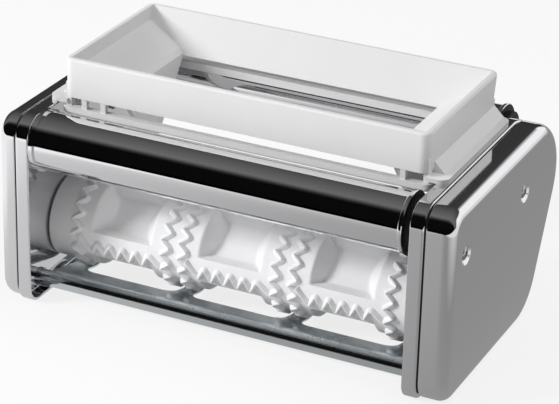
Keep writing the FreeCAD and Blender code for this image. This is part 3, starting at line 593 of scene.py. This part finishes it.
def addScrews(name, side):
    k = coverScrew
    parts = []
    seat = roller["middle"] + side * (cover["start"] + cover["depth"][side] - cover["deep"])
    length, shank = k["length"], k["shank"]
    section = [(-length, 0.0), (-length, shank), (0.0, shank), (0.0, k["head"]), *k["dome"]]
    for y, z in cover["dimples"]:
        piece = turnedPiece(name, facing(side, section), (seat, y, z), k["sides"])
        spot = Matrix.Translation(Vector((seat + side * k["slotOut"], y, z)) * mm)
        slots = []
        for turn in k["slotTurns"]:
            slot = boxPiece("slot", k["slot"])
            slot.matrix_world = spot @ Matrix.Rotation(math.radians(turn), 4, "X")
            slots.append(slot)
        bpy.context.view_layer.update()
        parts.append(carve(piece, slots))
    piece = joined(name, parts)
    finishPiece(piece, "screwSteel")
    return piece


for name, side in (("left", -1), ("right", 1)):
    shell = addCover(f"{name}CoverShell", side)
    sheet = addPlate(f"{name}PlateSheet", side)
    screws = addScrews(f"{name}DimpleScrews", side)
    for piece, cadName in ((shell, "cover"), (sheet, "side_plate"), (screws, "cover_screws")):
        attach(piece, "frame")
        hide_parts(f"{name}_{cadName}")
print("housings made")


# Bar end caps on the right: a disc with a bright round edge, and behind it a wide neck painted near black as
# shade
barCap = {
    "web": 90.5, "reach": 49.0, "height": 72.4, "stem": 4.4, "back": 5.4, "neck": 10.6, "step": 8.3,
    "front": 10.3, "disc": 13.45, "round": 0.9, "backRound": 0.25, "plug": 11.25, "plugLength": 12.0,
    "tap": 1.55, "sides": 128,
}


# Section with x inwards from the plate's web: tap, stem, neck, disc with a quarter round, and plug
def addBarCap(name, side):
    k = barCap
    disc, back, step, front, edge = k["disc"], k["back"], k["step"], k["front"], k["round"]
    length = k["plugLength"]
    section = [(length, 0.0), (length, k["tap"]), (0.0, k["tap"]), (0.0, k["stem"]), (back, k["stem"])]
    section += [(back, k["neck"]), (step, k["neck"])]
    section += [(step, disc - k["backRound"]), (step + k["backRound"], disc)]
    turn = np.linspace(0, math.pi / 2, 7)
    section += [(front - edge + edge * math.sin(t), disc - edge + edge * math.cos(t)) for t in turn]
    section += [(front, k["plug"]), (front + length, k["plug"]), (front + length, 0.0)]
    centre = (roller["middle"] + k["web"], side * k["reach"], k["height"])
    piece = turnedPiece(name, facing(-1, section), centre, k["sides"])
    # The neck behind the disc is painted near black: painted shade for the unlit gap behind the disc
    behind = faceValues(piece, "center")[:, 0] > (centre[0] - step - 0.02) * mm
    finishPiece(piece, "barSteel", behind)
    return piece


for end, side in (("front", -1), ("rear", 1)):
    drum = addBarCap(f"{end}BarCapDrum", side)
    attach(drum, "frame")
    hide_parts(f"{end}_bar_right_cap")
print("bar caps made")


# Stage, in metres, with what polished metal sees as (place, level) or (degrees from the front, level)
stage = {
    "reach": 6.0, "floor": (0.86, 0.86, 0.86), "floorRough": 0.9, "ownWhite": 0.80, "world": 0.40,
    "paper": ((-0.20, 1.0), (-0.15, 0.70), (-0.066, 0.55), (0.004, 0.42), (0.06, 0.38), (0.12, 0.30),
              (0.18, 0.28), (0.22, 0.42), (0.30, 0.80)),
    "paperFront": ((-0.54, 0.0), (-0.48, 1.0)),
    "arch": ((0.0, 0.003), (48.6, 0.003), (55.8, 0.03), (68.4, 0.16), (93.6, 0.12), (113.4, 0.09),
             (133.2, 0.06), (153.0, 0.04), (172.8, 0.03)),
    "panelRight": ((-0.02, 0.0), (0.08, 1.0)), "panelBack": ((0.10, 0.0), (0.30, 1.0)),
    "panelTop": ((0.42, 1.0), (0.52, 0.0)),
}

lamps = {
    "keyLamp": {"place": (-0.95, -0.8, 0.65), "size": 0.35, "watts": 15},
    "topLamp": {"place": (0.5, 0.1, 1.2), "size": 0.9, "watts": 4.8},
}
lampAim = (0, 0, 0.05)


def rampNode(tree, value, stops):
    ramp = addNode(tree, "ShaderNodeValToRGB")
    band = ramp.color_ramp
    while len(band.elements) < len(stops):
        band.elements.new(0.5)
    for element, (spot, level) in zip(band.elements, stops):
        element.position = spot
        element.color = (level, level, level, 1)
    tree.links.new(value, ramp.inputs["Fac"])
    return ramp.outputs["Color"]


# A ramp over a value from -1 to 1: position = value / 2 + 1 / 2
def centredRamp(tree, value, stops):
    half = mathNode(tree, "MULTIPLY_ADD", value, 0.5, 0.5)
    return rampNode(tree, half, [(spot * 0.5 + 0.5, level) for spot, level in stops])


def mathNode(tree, operation, *values):
    made = addNode(tree, "ShaderNodeMath", operation=operation)
    for index, value in enumerate(values):
        if isinstance(value, (int, float)):
            made.inputs[index].default_value = value
        else:
            tree.links.new(value, made.inputs[index])
    return made.outputs[0]


# One shader, and another where the factor is 1
def mixShaders(tree, factor, one, other):
    made = addNode(tree, "ShaderNodeMixShader")
    tree.links.new(factor, made.inputs["Fac"])
    tree.links.new(one, made.inputs[1])
    tree.links.new(other, made.inputs[2])
    return made.outputs[0]


# Paper floor: white to the camera with a faint shadow, and to polished metal a painted glow, brighter and
# darker across it as paper lit from the left would be, that ends in front
def addFloor():
    reach = stage["reach"]
    corners = [(-reach, -reach, 0), (reach, -reach, 0), (reach, reach, 0), (-reach, reach, 0)]
    floor = meshObject("floor", corners, [(0, 1, 2, 3)])
    material, tree, shader = newMaterial("floorPaper")
    shader.inputs["Base Color"].default_value = (*stage["floor"], 1)
    shader.inputs["Roughness"].default_value = stage["floorRough"]
    rays = addNode(tree, "ShaderNodeLightPath")
    place = addNode(tree, "ShaderNodeTexCoord")
    parts = addNode(tree, "ShaderNodeSeparateXYZ")
    tree.links.new(place.outputs["Object"], parts.inputs["Vector"])
    # Painted light: emission levels across the floor, seen only by polished metal, stand in for paper lit
    # from the left
    across = centredRamp(tree, parts.outputs["X"], stage["paper"])
    front = centredRamp(tree, parts.outputs["Y"], stage["paperFront"])
    white = addNode(tree, "ShaderNodeEmission", Color=(1, 1, 1, 1))
    paper = addNode(tree, "ShaderNodeEmission")
    tree.links.new(mathNode(tree, "MULTIPLY", across, front), paper.inputs["Color"])
    ownWhite = mathNode(tree, "MULTIPLY", rays.outputs["Is Camera Ray"], stage["ownWhite"])
    seen = mixShaders(tree, ownWhite, shader.outputs[0], white.outputs[0])
    seen = mixShaders(tree, rays.outputs["Is Glossy Ray"], seen, paper.outputs[0])
    tree.links.new(seen, tree.nodes["Material Output"].inputs["Surface"])
    floor.data.materials.append(material)


# Studio: white to the camera, even to matte surfaces, and to polished metal a dark front, a grey ceiling
# that fades towards the back, and a white panel at the back right
def addWorld():
    world = bpy.data.worlds.new("studio")
    bpy.context.scene.world = world
    world.use_nodes = True
    tree = world.node_tree
    matte = tree.nodes["Background"]
    matte.inputs["Color"].default_value = (1, 1, 1, 1)
    matte.inputs["Strength"].default_value = stage["world"]
    rays = addNode(tree, "ShaderNodeLightPath")
    way = addNode(tree, "ShaderNodeTexCoord")
    parts = addNode(tree, "ShaderNodeSeparateXYZ")
    tree.links.new(way.outputs["Generated"], parts.inputs["Vector"])
    front = mathNode(tree, "MULTIPLY", parts.outputs["Y"], -1.0)
    turn = mathNode(tree, "ARCTAN2", parts.outputs["Z"], front)
    turn = mathNode(tree, "DIVIDE", turn, math.pi)
    arch = rampNode(tree, turn, [(degrees / 180.0, level) for degrees, level in stage["arch"]])
    right = centredRamp(tree, parts.outputs["X"], stage["panelRight"])
    back = centredRamp(tree, parts.outputs["Y"], stage["panelBack"])
    low = rampNode(tree, parts.outputs["Z"], stage["panelTop"])
    panel = mathNode(tree, "MULTIPLY", mathNode(tree, "MULTIPLY", right, back), low)
    polished = addNode(tree, "ShaderNodeBackground")
    tree.links.new(mathNode(tree, "MAXIMUM", arch, panel), polished.inputs["Color"])
    white = addNode(tree, "ShaderNodeBackground", Color=(1, 1, 1, 1))
    seen = mixShaders(tree, rays.outputs["Is Glossy Ray"], matte.outputs[0], polished.outputs[0])
    seen = mixShaders(tree, rays.outputs["Is Camera Ray"], seen, white.outputs[0])
    tree.links.new(seen, tree.nodes["World Output"].inputs["Surface"])


# A soft square lamp that matte surfaces see and polished metal doesn't
def addLamp(name, place, size, watts):
    data = bpy.data.lights.new(name, "AREA")
    data.shape = "RECTANGLE"
    data.size = data.size_y = size
    data.energy = watts
    lamp = linked(name, data)
    lamp.visible_glossy = False
    away = Vector(place) - Vector(lampAim)
    lamp.matrix_world = Matrix.Translation(Vector(place)) @ away.to_track_quat("Z", "Y").to_matrix().to_4x4()


addFloor()
addWorld()
for name, lamp in lamps.items():
    addLamp(name, lamp["place"], lamp["size"], lamp["watts"])
bpy.context.scene.view_settings.view_transform = "Standard"
print("stage made")
